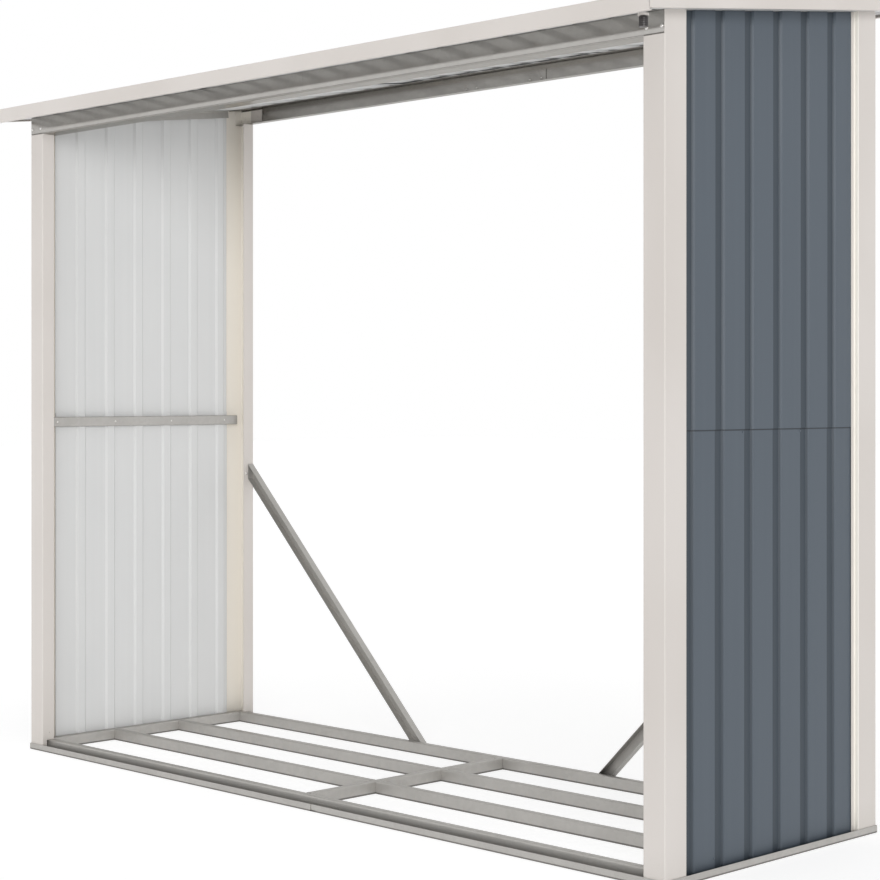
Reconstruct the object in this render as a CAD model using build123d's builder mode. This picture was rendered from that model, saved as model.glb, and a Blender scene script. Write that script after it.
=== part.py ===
from build123d import *
import math
import os

# Log store of folded and corrugated steel, open at the front and the back.
# Millimetres. X runs to the right seen from the front, Y to the rear, Z up.
# The origin is on the ground, under the middle of the store.

# Body, measured over the outer faces of the four corner posts
body_width = 2350.0
body_depth = 783.0
eave_height = 1829.0
roof_pitch = 7.2
front_overhang = 109.0
rear_overhang = 109.0
side_overhang = 50.0

# Steel as it is modelled: the frame, and the thinner corrugated sheet
steel = 1.5
sheet = 1.0
bend = 3.0
fit = 0.3

# Base rails: an outer lip, a channel that holds posts and walls, and a raised inner rib
rail_margin = 2.0
rail_lip = 18.0
rail_height = 31.5
rib_width = 20.0
base_joint = 68.0
joint_notch = 37.0
base_splice_length = 140.0

# Floor members between the rails
joist_count = 2
joist_width = 20.0

# Corner posts
post_face = 59.0
post_side = 73.0
post_hem = 39.0
hem_foot = 15.0
post_step = 12.0
post_wing = 10.0

# Beams over the two open sides. The rear beam lies the other way up, its wide flange under the roof
beam_height = 50.0
beam_foot = 53.0
beam_head = 25.0
beam_joint = 28.0
beam_splice_length = 320.0
beam_splice_height = 34.0
bracket_reach = 104.0
bracket_side = 27.0

# Corrugated walls, in a lower and an upper sheet
groove_pitch = 104.2
groove_mouth = 34.0
groove_floor = 22.0
groove_depth = 6.0
first_groove = 27.7
wall_seam = 953.0
wall_lap = 20.0
wall_lap_shift = 1.8

# Rails on the inside of the walls
mid_rail_height = 28.0
mid_rail_drop = 19.0
mid_rail_depth = 12.0
mid_rail_long_end = 54.0
mid_rail_short_end = 46.0
top_rail_height = 22.0
top_rail_width = 20.0

# Diagonal braces at the rear
brace_width = 33.0
brace_depth = 20.5
brace_lean = 45.0
brace_foot = 361.0

# Roof sheets and the trims round the roof
rib_pitch = 104.2
rib_foot = 40.0
rib_top = 24.0
rib_height = 20.0
middle_ribs = 4
roof_lap_shift = 3.2
lap_reach = 12.0
fascia_height = 38.0
fascia_rise = 28.8
fascia_cover = 30.0
fascia_hem = 10.0
verge_height = 36.0
verge_cover = 30.0
verge_hem = 8.0

# Worked out from the sizes above
half_width = body_width / 2
half_depth = body_depth / 2
slope = math.tan(math.radians(roof_pitch))
rail_half_width = half_width + rail_margin
rail_half_depth = half_depth + rail_margin
eave_front = -half_depth - front_overhang
eave_rear = half_depth + rear_overhang
roof_side = half_width + side_overhang
front_beam_bottom = eave_height - beam_height
wall_face = post_step + steel + fit
wall_inside = wall_face + wall_lap_shift + groove_depth + sheet
wall_length = body_depth - 2 * (post_side + fit)
groove_count = int((wall_length - first_groove - groove_mouth / 2) / groove_pitch) + 1
rail_channel = rail_margin + wall_inside + fit + steel
rail_width = rail_channel + rib_width
pitch_direction = (0, math.cos(math.radians(roof_pitch)), math.sin(math.radians(roof_pitch)))
pitch_normal = (0, -pitch_direction[2], pitch_direction[1])


def roof_at(y):
    """Height of the underside of the roof sheets at a place along the depth."""
    return eave_height + (y + half_depth) * slope


rear_beam_bottom = roof_at(half_depth) - beam_height
brace_end = -half_width + post_face + fit


def save(piece, name):
    """Label a finished piece and write it to its own file."""
    piece.part.label = name
    export_step(piece.part, f"parts/{name}.step")


def folded(corners, side, thickness=steel, radius=bend):
    """Section of a strip of sheet folded at the given corners."""
    with BuildSketch() as section:
        with BuildLine():
            FilletPolyline(*corners, radius=radius)
            offset(amount=thickness, side=side)
        make_face()
    return section.sketch


def pressed(corners, side):
    """Section of a corrugated sheet, with its corners left sharp."""
    with BuildSketch() as section:
        with BuildLine():
            Polyline(*corners)
            offset(amount=sheet, side=side, kind=Kind.INTERSECTION)
        make_face()
    return section.sketch


def turned(plane, turn):
    """The same plane on the far side of the store, turned about its middle."""
    return Plane(Location((0, 0, 0), (0, 0, turn)) * plane.location)


def cut_above_roof():
    """Cut the piece being built along the underside of the roof."""
    origin = (0, -half_depth, eave_height - fit)
    split(bisect_by=Plane(origin, x_dir=(1, 0, 0), z_dir=pitch_normal), keep=Keep.BOTTOM)


def twin(piece, name):
    """Mirror a left-hand piece to the right-hand side."""
    with BuildPart() as copy:
        mirror(piece.part, about=Plane.YZ)
    save(copy, name)


def rail_section():
    """Base rail: lip, channel and rib, seen along the rail with its outside at the left."""
    rib_left = rail_channel
    rib_right = rail_width - steel
    rib_line = rail_height - steel
    corners = [(0, rail_lip), (0, 0), (rib_left, 0), (rib_left, rib_line), (rib_right, rib_line), (rib_right, 0)]
    return folded(corners, Side.LEFT)


def long_rail(name, start, end, turn):
    """Half of the front or the rear base rail, mitred at its corner of the store."""
    plane = Plane((start, -rail_half_depth, 0), x_dir=(0, 1, 0), z_dir=(1, 0, 0))
    corner_x = -rail_half_width if start < -base_joint else rail_half_width
    corner = Plane((corner_x, -rail_half_depth, 0), z_dir=(1 if corner_x < 0 else -1, -1, 0))
    notch_x = end if corner_x < 0 else start
    notch = Plane((notch_x, -rail_half_depth, rail_lip / 2), z_dir=(0, 1, 0))
    with BuildPart() as rail:
        with BuildSketch(turned(plane, turn)):
            add(rail_section())
        extrude(amount=end - start)
        split(bisect_by=turned(corner, turn), keep=Keep.TOP)
        with BuildSketch(turned(notch, turn)):
            Rectangle(joint_notch, rail_lip + 2 * fit)
        extrude(amount=steel + fit, both=True, mode=Mode.SUBTRACT)
    save(rail, name)


def side_rail(name, turn):
    """Base rail under a wall, mitred at both ends."""
    plane = Plane((-rail_half_width, rail_half_depth, 0), x_dir=(1, 0, 0), z_dir=(0, -1, 0))
    front = Plane((-rail_half_width, -rail_half_depth, 0), z_dir=(-1, 1, 0))
    rear = Plane((-rail_half_width, rail_half_depth, 0), z_dir=(-1, -1, 0))
    with BuildPart() as rail:
        with BuildSketch(turned(plane, turn)):
            add(rail_section())
        extrude(amount=2 * rail_half_depth)
        split(bisect_by=turned(front, turn), keep=Keep.TOP)
        split(bisect_by=turned(rear, turn), keep=Keep.TOP)
    save(rail, name)


def base_splice(name, turn):
    """Channel that lies in the rail and joins its two halves."""
    plane = Plane(
        (base_joint - base_splice_length / 2, -rail_half_depth, 0), x_dir=(0, 1, 0), z_dir=(1, 0, 0)
    )
    near = steel + fit
    far = rail_channel - steel - fit
    corners = [(near, rail_lip), (near, near), (far, near), (far, rail_lip)]
    with BuildPart() as splice:
        with BuildSketch(turned(plane, turn)):
            add(folded(corners, Side.LEFT))
        extrude(amount=base_splice_length)
    save(splice, name)


def floor_section():
    """Floor member: a strip folded to an upside-down channel."""
    half = joist_width / 2
    corners = [(-half, 0), (-half, rail_height), (half, rail_height), (half, 0)]
    return folded(corners, Side.RIGHT)


def joist(name, start, end, y):
    """Floor member along the width, between a side rail and the cross member."""
    with BuildPart() as member:
        with BuildSketch(Plane((start, y, 0), x_dir=(0, 1, 0), z_dir=(1, 0, 0))):
            add(floor_section())
        extrude(amount=end - start)
    save(member, name)


def cross_member(name):
    """Floor member from the front rail to the rear rail at mid-length."""
    reach = rail_half_depth - rail_width - fit
    with BuildPart() as member:
        with BuildSketch(Plane((0, reach, 0), x_dir=(1, 0, 0), z_dir=(0, -1, 0))):
            add(floor_section())
        extrude(amount=2 * reach)
    save(member, name)


def make_base():
    """Base rails, their splices and the floor members."""
    side_end = rail_half_width
    long_rail("front_base_rail_left", -side_end, base_joint - fit / 2, 0)
    long_rail("front_base_rail_right", base_joint + fit / 2, side_end, 0)
    long_rail("rear_base_rail_right", -side_end, base_joint - fit / 2, 180)
    long_rail("rear_base_rail_left", base_joint + fit / 2, side_end, 180)
    side_rail("left_base_rail", 0)
    side_rail("right_base_rail", 180)
    base_splice("front_base_splice", 0)
    base_splice("rear_base_splice", 180)
    cross_member("base_cross_member")
    inner_depth = 2 * (rail_half_depth - rail_width)
    gap = (inner_depth - joist_count * joist_width) / (joist_count + 1)
    outer_end = rail_half_width - rail_width - fit
    inner_end = joist_width / 2 + fit
    for number, place in enumerate(("front", "rear")):
        y = -inner_depth / 2 + (number + 1) * gap + (number + 0.5) * joist_width
        joist(f"{place}_joist_left", -outer_end, -inner_end, y)
        joist(f"{place}_joist_right", inner_end, outer_end, y)


def post_section(toward_rear):
    """Corner post in plan, from the hem of its face round to the wing over the wall."""
    corners = [
        (post_face, post_hem),
        (post_face, 0),
        (0, 0),
        (0, post_side),
        (post_step, post_side),
        (post_step, post_side + post_wing),
    ]
    if toward_rear:
        return folded(corners, Side.RIGHT)
    return folded([(x, -y) for x, y in corners], Side.LEFT)


def left_post(front):
    """Left-hand corner post, notched at the top for its beam and at the foot of its hem for the rail."""
    y = -half_depth if front else half_depth
    inward = 1 if front else -1
    beam_bottom = front_beam_bottom if front else rear_beam_bottom
    notch_depth = beam_foot + fit
    notch_width = post_face
    with BuildPart() as post:
        with BuildSketch(Plane((-half_width, y, bend))):
            add(post_section(front))
        extrude(amount=roof_at(half_depth))
        cut_above_roof()
        corner_x = -half_width + steel + fit / 2
        with BuildSketch(Plane((corner_x, y + inward * notch_depth / 2, beam_bottom - fit))):
            Rectangle(notch_width, notch_depth + steel, align=(Align.MIN, Align.CENTER))
        extrude(amount=2 * beam_height, mode=Mode.SUBTRACT)
        with BuildSketch(Plane((-half_width + post_face - steel, y + inward * hem_foot, bend))):
            Rectangle(2 * (steel + fit), post_hem, align=(Align.CENTER, Align.MIN if front else Align.MAX))
        extrude(amount=rail_height + fit - bend, mode=Mode.SUBTRACT)
    return post


def make_posts():
    """The four corner posts."""
    for front, place in ((True, "front"), (False, "rear")):
        post = left_post(front)
        save(post, f"{place}_left_post")
        twin(post, f"{place}_right_post")


def beam_half(name, start, end, front):
    """Half of a beam: foot, face and a head that leans with the roof."""
    foot, head = (beam_foot, beam_head) if front else (beam_head, beam_foot)
    y = -half_depth if front else half_depth
    inward = 1 if front else -1
    bottom = front_beam_bottom if front else rear_beam_bottom
    top = bottom + beam_height - fit
    lean = inward * slope
    corners = [(foot, bottom), (0, bottom), (0, top), (head, top + head * lean)]
    with BuildPart() as beam:
        if front:
            plane = Plane((start, y, 0), x_dir=(0, 1, 0), z_dir=(1, 0, 0))
        else:
            plane = Plane((end, y, 0), x_dir=(0, -1, 0), z_dir=(-1, 0, 0))
        with BuildSketch(plane):
            add(folded(corners, Side.RIGHT))
        extrude(amount=end - start)
    save(beam, name)


def beam_splice(name, middle, front):
    """Angle on the inside of a beam that joins its two halves."""
    y = -half_depth if front else half_depth
    bottom = (front_beam_bottom if front else rear_beam_bottom) + steel + fit
    seat = steel + fit
    foot = (beam_foot if front else beam_head) - seat
    corners = [(foot, bottom), (seat, bottom), (seat, bottom + beam_splice_height)]
    start = middle - beam_splice_length / 2
    with BuildPart() as splice:
        if front:
            plane = Plane((start, y, 0), x_dir=(0, 1, 0), z_dir=(1, 0, 0))
        else:
            plane = Plane((start + beam_splice_length, y, 0), x_dir=(0, -1, 0), z_dir=(-1, 0, 0))
        with BuildSketch(plane):
            add(folded(corners, Side.RIGHT))
        extrude(amount=beam_splice_length)
    save(splice, name)


def left_bracket(front):
    """Bracket in the corner between a left-hand post and the end of its beam."""
    y = -half_depth if front else half_depth
    inward = 1 if front else -1
    bottom = (front_beam_bottom if front else rear_beam_bottom) + bend
    height = beam_height - 2 * bend - bracket_side * slope
    near = steel + fit
    corners = [(bracket_reach, inward * near), (near + fit, inward * near), (near + fit, inward * bracket_side)]
    with BuildPart() as bracket:
        with BuildSketch(Plane((-half_width, y, bottom))):
            add(folded(corners, Side.RIGHT if front else Side.LEFT))
        extrude(amount=height)
    return bracket


def make_beams():
    """Beams over the open sides, their splices and their end brackets."""
    end = half_width - steel - fit
    gap = fit / 2
    beam_half("front_beam_left", -end, beam_joint - gap, True)
    beam_half("front_beam_right", beam_joint + gap, end, True)
    beam_half("rear_beam_left", -end, -beam_joint - gap, False)
    beam_half("rear_beam_right", -beam_joint + gap, end, False)
    beam_splice("front_beam_splice", beam_joint, True)
    beam_splice("rear_beam_splice", -beam_joint, False)
    for front, place in ((True, "front"), (False, "rear")):
        bracket = left_bracket(front)
        save(bracket, f"{place}_left_bracket")
        twin(bracket, f"{place}_right_bracket")


def wall_section(depth):
    """Corrugated wall in plan, its outer face at the given depth from the posts' sides."""
    corners = [(depth, 0)]
    for number in range(groove_count):
        middle = first_groove + number * groove_pitch
        corners += [
            (depth, middle - groove_mouth / 2),
            (depth + groove_depth, middle - groove_floor / 2),
            (depth + groove_depth, middle + groove_floor / 2),
            (depth, middle + groove_mouth / 2),
        ]
    corners.append((depth, wall_length))
    return pressed(corners, Side.RIGHT)


def wall_sheet(name, depth, bottom, top, turn):
    """One sheet of a wall. Turned by half a turn it is the sheet of the other wall."""
    corner = Plane((half_width, -half_depth + post_side + fit, bottom), x_dir=(-1, 0, 0), z_dir=(0, 0, -1))
    with BuildPart() as wall:
        with BuildSketch(turned(corner, turn)):
            add(wall_section(depth))
        extrude(amount=-(top - bottom))
        cut_above_roof()
    save(wall, name)


def mid_rail(name, turn):
    """Channel across the seam of a wall, its flat face to the inside."""
    corners = [
        (0, 0),
        (mid_rail_depth, 0),
        (mid_rail_depth, mid_rail_height),
        (0, mid_rail_height),
    ]
    start = -half_depth + mid_rail_long_end
    length = body_depth - mid_rail_long_end - mid_rail_short_end
    place = (-half_width + wall_inside + fit, start + length, wall_seam - mid_rail_drop)
    with BuildPart() as rail:
        with BuildSketch(turned(Plane(place, x_dir=(1, 0, 0), z_dir=(0, -1, 0)), turn)):
            add(folded(corners, Side.LEFT))
        extrude(amount=length)
    save(rail, name)


def left_top_rail():
    """Angle under the roof along the top of the left wall, as long as the wall."""
    start = -wall_length / 2
    corners = [(0, top_rail_height), (0, 0), (top_rail_width, 0)]
    origin = (-half_width + wall_inside - wall_lap_shift + fit, start, roof_at(start) - fit)
    with BuildPart() as rail:
        with BuildSketch(Plane(origin, x_dir=(1, 0, 0), z_dir=pitch_direction)):
            add(folded(corners, Side.LEFT))
        extrude(amount=wall_length / pitch_direction[1])
    return rail


def make_walls():
    """Both walls and the rails on their inside."""
    high = roof_at(half_depth) + wall_lap
    for side, turn in (("right", 0), ("left", 180)):
        wall_sheet(f"{side}_wall_lower", wall_face + wall_lap_shift, bend, wall_seam + wall_lap, turn)
        wall_sheet(f"{side}_wall_upper", wall_face, wall_seam, high, turn)
    mid_rail("left_mid_rail", 0)
    mid_rail("right_mid_rail", 180)
    rail = left_top_rail()
    save(rail, "left_top_rail")
    twin(rail, "right_top_rail")


def brace_strip(low, high):
    """Outline of a strip of the left brace, level at its foot and upright against the post."""
    rise = math.tan(math.radians(brace_lean))
    with BuildSketch() as outline:
        with BuildLine():
            Polyline(
                (-brace_foot + low - (bend - rail_height) / rise, bend),
                (-brace_foot + high - (bend - rail_height) / rise, bend),
                (brace_end, rail_height + (high - brace_foot - brace_end) * rise),
                (brace_end, rail_height + (low - brace_foot - brace_end) * rise),
                close=True,
            )
        make_face()
    return outline.sketch


def left_brace():
    """Channel from the rear base rail up to the rear left post, with a plate across its upper end."""
    lean = math.radians(brace_lean)
    half_cut = brace_width / 2 / math.sin(lean)
    edge = steel / math.sin(lean)
    upper_z = rail_height + (half_cut - brace_foot - brace_end) * math.tan(lean)
    back = Plane((0, half_depth - steel - fit, 0), x_dir=(1, 0, 0), z_dir=(0, -1, 0))
    with BuildPart() as brace:
        with BuildSketch(back):
            add(brace_strip(-half_cut, half_cut))
        extrude(amount=steel)
        with BuildSketch(back):
            add(brace_strip(-half_cut, edge - half_cut))
            add(brace_strip(half_cut - edge, half_cut))
            with Locations((brace_end, upper_z)):
                Rectangle(steel, 2 * half_cut * math.tan(lean), align=(Align.MIN, Align.MAX))
        extrude(amount=brace_depth)
    return brace


def make_braces():
    """The two diagonal braces at the rear."""
    brace = left_brace()
    save(brace, "left_brace")
    twin(brace, "right_brace")


def roof_section(start, end, numbers):
    """Corrugated roof sheet seen along the slope, from one edge to the other."""
    corners = [(start, 0)]
    for number in numbers:
        middle = number * rib_pitch
        corners += [
            (middle - rib_foot / 2, 0),
            (middle - rib_top / 2, rib_height),
            (middle + rib_top / 2, rib_height),
            (middle + rib_foot / 2, 0),
        ]
    corners.append((end, 0))
    return pressed(corners, Side.LEFT)


def roof_sheet(name, start, end, numbers, lift):
    """One roof sheet, with its ribs running down the slope."""
    first = eave_front + steel + fit
    last = eave_rear - steel - fit
    beyond = last + rib_height
    down = tuple(-part for part in pitch_direction)
    with BuildPart() as roof:
        with BuildSketch(Plane((0, beyond, roof_at(beyond)), x_dir=(1, 0, 0), z_dir=down)):
            with Locations((0, lift)):
                add(roof_section(start, end, numbers))
        extrude(amount=(last - first + 2 * rib_height) / pitch_direction[1])
        split(bisect_by=Plane((0, first, 0), z_dir=(0, 1, 0)), keep=Keep.TOP)
        split(bisect_by=Plane((0, last, 0), z_dir=(0, -1, 0)), keep=Keep.TOP)
    save(roof, name)


def fascia(name, front):
    """Trim over the ends of the roof sheets, between the two verge trims."""
    y = eave_front if front else eave_rear
    lean = slope if front else -slope
    top = roof_at(y) + fascia_rise
    bottom = top - fascia_height
    corners = [(fascia_hem, bottom), (0, bottom), (0, top), (fascia_cover, top + fascia_cover * lean)]
    reach = roof_side - bend
    with BuildPart() as trim:
        if front:
            plane = Plane((-reach, y, 0), x_dir=(0, 1, 0), z_dir=(1, 0, 0))
        else:
            plane = Plane((reach, y, 0), x_dir=(0, -1, 0), z_dir=(-1, 0, 0))
        with BuildSketch(plane):
            add(folded(corners, Side.RIGHT))
        extrude(amount=2 * reach)
    save(trim, name)


def left_verge():
    """Trim along the left edge of the roof, lapped over both fascias."""
    top = fascia_rise + steel + fit
    corners = [(verge_hem, top - verge_height), (0, top - verge_height), (0, top), (verge_cover, top)]
    origin = (-roof_side, eave_rear + steel, roof_at(eave_rear + steel))
    plane = Plane(origin, x_dir=(1, 0, 0), z_dir=tuple(-part for part in pitch_direction))
    with BuildPart() as trim:
        with BuildSketch(plane):
            add(folded(corners, Side.RIGHT))
        extrude(amount=2 * (eave_rear - eave_front))
        split(bisect_by=Plane((0, eave_front, 0), z_dir=(0, 1, 0)), keep=Keep.TOP)
        split(bisect_by=Plane((0, eave_rear, 0), z_dir=(0, -1, 0)), keep=Keep.TOP)
        for y in (eave_front, eave_rear):
            clear_y = y + (-1 if y > 0 else 1) * (fascia_hem / 2)
            base = roof_at(y) + top - verge_height - fascia_cover
            with BuildSketch(Plane((-roof_side + steel + fit / 2, clear_y, base))):
                Rectangle(verge_cover, fascia_hem + 2 * fit, align=(Align.MIN, Align.CENTER))
            extrude(amount=fascia_cover + verge_height / 2, mode=Mode.SUBTRACT)
    return trim


def make_roof():
    """Three roof sheets and the four trims round them."""
    edge = roof_side - steel - fit
    outer = int((edge - rib_foot / 2) / rib_pitch)
    lap = middle_ribs * rib_pitch
    lap_edge = rib_foot / 2 + lap_reach
    left_numbers = range(-outer, -middle_ribs + 1)
    right_numbers = range(middle_ribs, outer + 1)
    roof_sheet("roof_sheet_left", -edge, -lap + lap_edge, left_numbers, 0)
    roof_sheet("roof_sheet_right", lap - lap_edge, edge, right_numbers, 0)
    middle_numbers = range(-middle_ribs, middle_ribs + 1)
    roof_sheet("roof_sheet_middle", -lap - lap_edge, lap + lap_edge, middle_numbers, roof_lap_shift)
    fascia("front_fascia", True)
    fascia("rear_fascia", False)
    verge = left_verge()
    save(verge, "left_verge_trim")
    twin(verge, "right_verge_trim")


os.makedirs("parts", exist_ok=True)
make_base()
make_posts()
make_beams()
make_walls()
make_braces()
make_roof()
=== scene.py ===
"""Looks of the log store: finishes for its steel pieces, its screws and bolts, and a plain studio."""

import logging
import math
from collections.abc import Callable, Iterable
from dataclasses import dataclass, field
from enum import Enum

import bpy
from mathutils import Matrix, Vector


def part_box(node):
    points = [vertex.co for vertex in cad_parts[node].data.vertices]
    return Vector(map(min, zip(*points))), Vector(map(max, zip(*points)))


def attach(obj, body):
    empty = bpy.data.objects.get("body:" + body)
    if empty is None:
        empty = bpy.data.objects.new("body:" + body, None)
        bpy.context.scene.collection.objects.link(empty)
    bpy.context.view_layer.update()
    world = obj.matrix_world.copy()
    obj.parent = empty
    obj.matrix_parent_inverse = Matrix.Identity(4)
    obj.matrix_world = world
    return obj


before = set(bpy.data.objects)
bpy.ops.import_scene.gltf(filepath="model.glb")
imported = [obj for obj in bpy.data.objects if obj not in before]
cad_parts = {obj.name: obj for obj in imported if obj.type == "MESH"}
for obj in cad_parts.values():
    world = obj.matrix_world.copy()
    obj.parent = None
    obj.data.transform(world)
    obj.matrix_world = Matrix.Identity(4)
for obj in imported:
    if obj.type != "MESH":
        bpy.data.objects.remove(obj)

log = logging.getLogger("log_store")

BODY = "root"
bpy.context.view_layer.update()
PLACES = {"front": -1, "rear": 1}
SIDES = {"left": -1, "right": 1}
DOWN = Vector((0, 0, -1))
# Points closer than this are one, in metres.
TINY = 1e-6
# Least upward part of a level face's normal.
LEAST_LEVEL = 0.9
# Colour sockets of the Mix node, by number.
MIX_COLOURS = (6, 7)
MIX_RESULT = 2
Colour = tuple[float, float, float]
Size = tuple[float, float, float]
Span = tuple[float, float]


class Grain(Enum):
    """Direction in which the steel of a piece was rolled."""

    X = 0
    Y = 1
    Z = 2


class CoatedSide(Enum):
    """How the coloured face of a two-faced sheet is told from its pale back."""

    OUTWARD = "away from the middle of the store"
    UPWARD = "towards the sky"


class Value:
    """A number that varies over a surface. Python operators on it add Math nodes."""

    def __init__(self, shader: "Shader", socket: bpy.types.NodeSocket) -> None:
        """Keep the shader and the socket that gives the number.

        Args:
            shader: the node tree that the number belongs to.
            socket: the output that gives it.
        """
        self.shader = shader
        self.socket = socket

    def math(self, operation: str, *others: "Value | float") -> "Value":
        """Add one Math node with this value as its first number.

        Args:
            operation: name of the Math node's operation.
            others: its other numbers.

        Returns:
            The result as a new value.
        """
        return self.shader.math(operation, self, *others)

    def __add__(self, other: "Value | float") -> "Value":
        """This value plus another."""
        return self.math("ADD", other)

    __radd__ = __add__

    def __sub__(self, other: "Value | float") -> "Value":
        """This value minus another."""
        return self.math("SUBTRACT", other)

    def __rsub__(self, other: float) -> "Value":
        """A number minus this value."""
        return self.shader.math("SUBTRACT", other, self)

    def __mul__(self, other: "Value | float") -> "Value":
        """This value times another."""
        return self.math("MULTIPLY", other)

    __rmul__ = __mul__

    def __abs__(self) -> "Value":
        """This value without its sign."""
        return self.math("ABSOLUTE")

    def ramp(self, low: float, high: float) -> "Value":
        """Smooth step of this value.

        Args:
            low: where the step starts, at 0.
            high: where it ends, at 1.

        Returns:
            The step as a new value.
        """
        node = self.shader.node(
            "ShaderNodeMapRange",
            {"interpolation_type": "SMOOTHSTEP"},
            {"Value": self, "From Min": low, "From Max": high},
        )
        return Value(self.shader, node.outputs["Result"])


class Shader:
    """Node tree of one material, with a Principled surface, or of the world."""

    def __init__(self, holder: bpy.types.Material | bpy.types.World) -> None:
        """Start with an empty tree.

        Args:
            holder: the new material or world that the tree belongs to.
        """
        self.holder = holder
        holder.use_nodes = True
        self.tree = holder.node_tree
        self.tree.nodes.clear()
        self.place = self.node("ShaderNodeTexCoord").outputs["Object"]
        split = self.node("ShaderNodeSeparateXYZ", {}, {"Vector": self.place})
        self.x, self.y, self.z = (Value(self, split.outputs[axis]) for axis in "XYZ")

    def node(self, kind: str, settings: dict | None = None, inputs: dict | None = None) -> bpy.types.Node:
        """Add a node of any type.

        Args:
            kind: type of the node.
            settings: properties that are set first.
            inputs: values or links of its sockets, by name or number.

        Returns:
            The new node.
        """
        made = self.tree.nodes.new(kind)
        for key, setting in (settings or {}).items():
            setattr(made, key, setting)
        for key, given in (inputs or {}).items():
            source = given.socket if isinstance(given, Value) else given
            if isinstance(source, bpy.types.NodeSocket):
                self.tree.links.new(source, made.inputs[key])
            else:
                made.inputs[key].default_value = source
        return made

    def math(self, operation: str, *numbers: "Value | float") -> Value:
        """Add a Math node.

        Args:
            operation: name of its operation.
            numbers: its numbers in order.

        Returns:
            Its result.
        """
        made = self.node("ShaderNodeMath", {"operation": operation}, dict(enumerate(numbers)))
        return Value(self, made.outputs[0])

    def noise(self, size: Iterable[float], detail: float = 3.0, roughness: float = 0.55) -> Value:
        """Noise with its own grain along each axis.

        Args:
            size: size of its blots along X, Y and Z, in metres.
            detail: how many finer layers it has.
            roughness: strength of the finer layers.

        Returns:
            The noise, around one half.
        """
        scale = tuple(1 / length for length in size)
        mapping = self.node("ShaderNodeMapping", {}, {"Vector": self.place, "Scale": scale})
        made = self.node(
            "ShaderNodeTexNoise",
            {},
            {"Vector": mapping.outputs[0], "Scale": 1.0, "Detail": detail, "Roughness": roughness},
        )
        return Value(self, made.outputs["Fac"])

    def cells(self, size: float) -> Value:
        """Random level of each cell of a crystal pattern.

        Args:
            size: width of a cell, in metres.

        Returns:
            The level from 0 to 1.
        """
        made = self.node("ShaderNodeTexVoronoi", {}, {"Vector": self.place, "Scale": 1 / size})
        split = self.node("ShaderNodeSeparateColor", {}, {"Color": made.outputs["Color"]})
        return Value(self, split.outputs["Red"])

    def mix(self, amount: Value | float, first: object, second: object) -> bpy.types.NodeSocket:
        """Mix two colours.

        Args:
            amount: share of the second colour.
            first: a colour or a colour socket.
            second: a colour or a colour socket.

        Returns:
            The mixed colour.
        """
        colours = [(*given, 1) if isinstance(given, tuple) else given for given in (first, second)]
        inputs = {"Factor": amount, **dict(zip(MIX_COLOURS, colours))}
        made = self.node("ShaderNodeMix", {"data_type": "RGBA"}, inputs)
        return made.outputs[MIX_RESULT]

    def bump(
        self, height: Value, depth: float, strength: float = 1.0, under: bpy.types.NodeSocket | None = None
    ) -> bpy.types.NodeSocket:
        """Bump from a height.

        Args:
            height: the height, from 0 to 1.
            depth: real size of a step from 0 to 1, in metres.
            strength: how much of it shows.
            under: a normal that is already bent by finer bumps.

        Returns:
            The bent normal.
        """
        inputs = {"Height": height, "Distance": depth, "Strength": strength}
        if under is not None:
            inputs["Normal"] = under
        return self.node("ShaderNodeBump", {}, inputs).outputs[0]

    def normal(self) -> tuple[Value, Value, Value]:
        """Read the direction of the surface.

        Returns:
            Its X, Y and Z as three values.
        """
        source = self.node("ShaderNodeTexCoord").outputs["Normal"]
        split = self.node("ShaderNodeSeparateXYZ", {}, {"Vector": source})
        return tuple(Value(self, split.outputs[axis]) for axis in "XYZ")

    def surface(self, inputs: dict) -> bpy.types.Material:
        """Close the material with a Principled shader.

        Args:
            inputs: values or links of its sockets.

        Returns:
            The finished material.
        """
        shader = self.node("ShaderNodeBsdfPrincipled", {}, inputs)
        self.node("ShaderNodeOutputMaterial", {}, {"Surface": shader.outputs[0]})
        return self.holder

    def seen(self) -> Value:
        """Tell the rays that see the picture's white ground.

        Returns:
            One for camera, glossy and transmission rays, else nought.
        """
        path = self.node("ShaderNodeLightPath")
        camera, glossy, through = (
            Value(self, path.outputs[f"Is {ray} Ray"]) for ray in ("Camera", "Glossy", "Transmission")
        )
        return camera.math("MAXIMUM", glossy).math("MAXIMUM", through)


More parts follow.
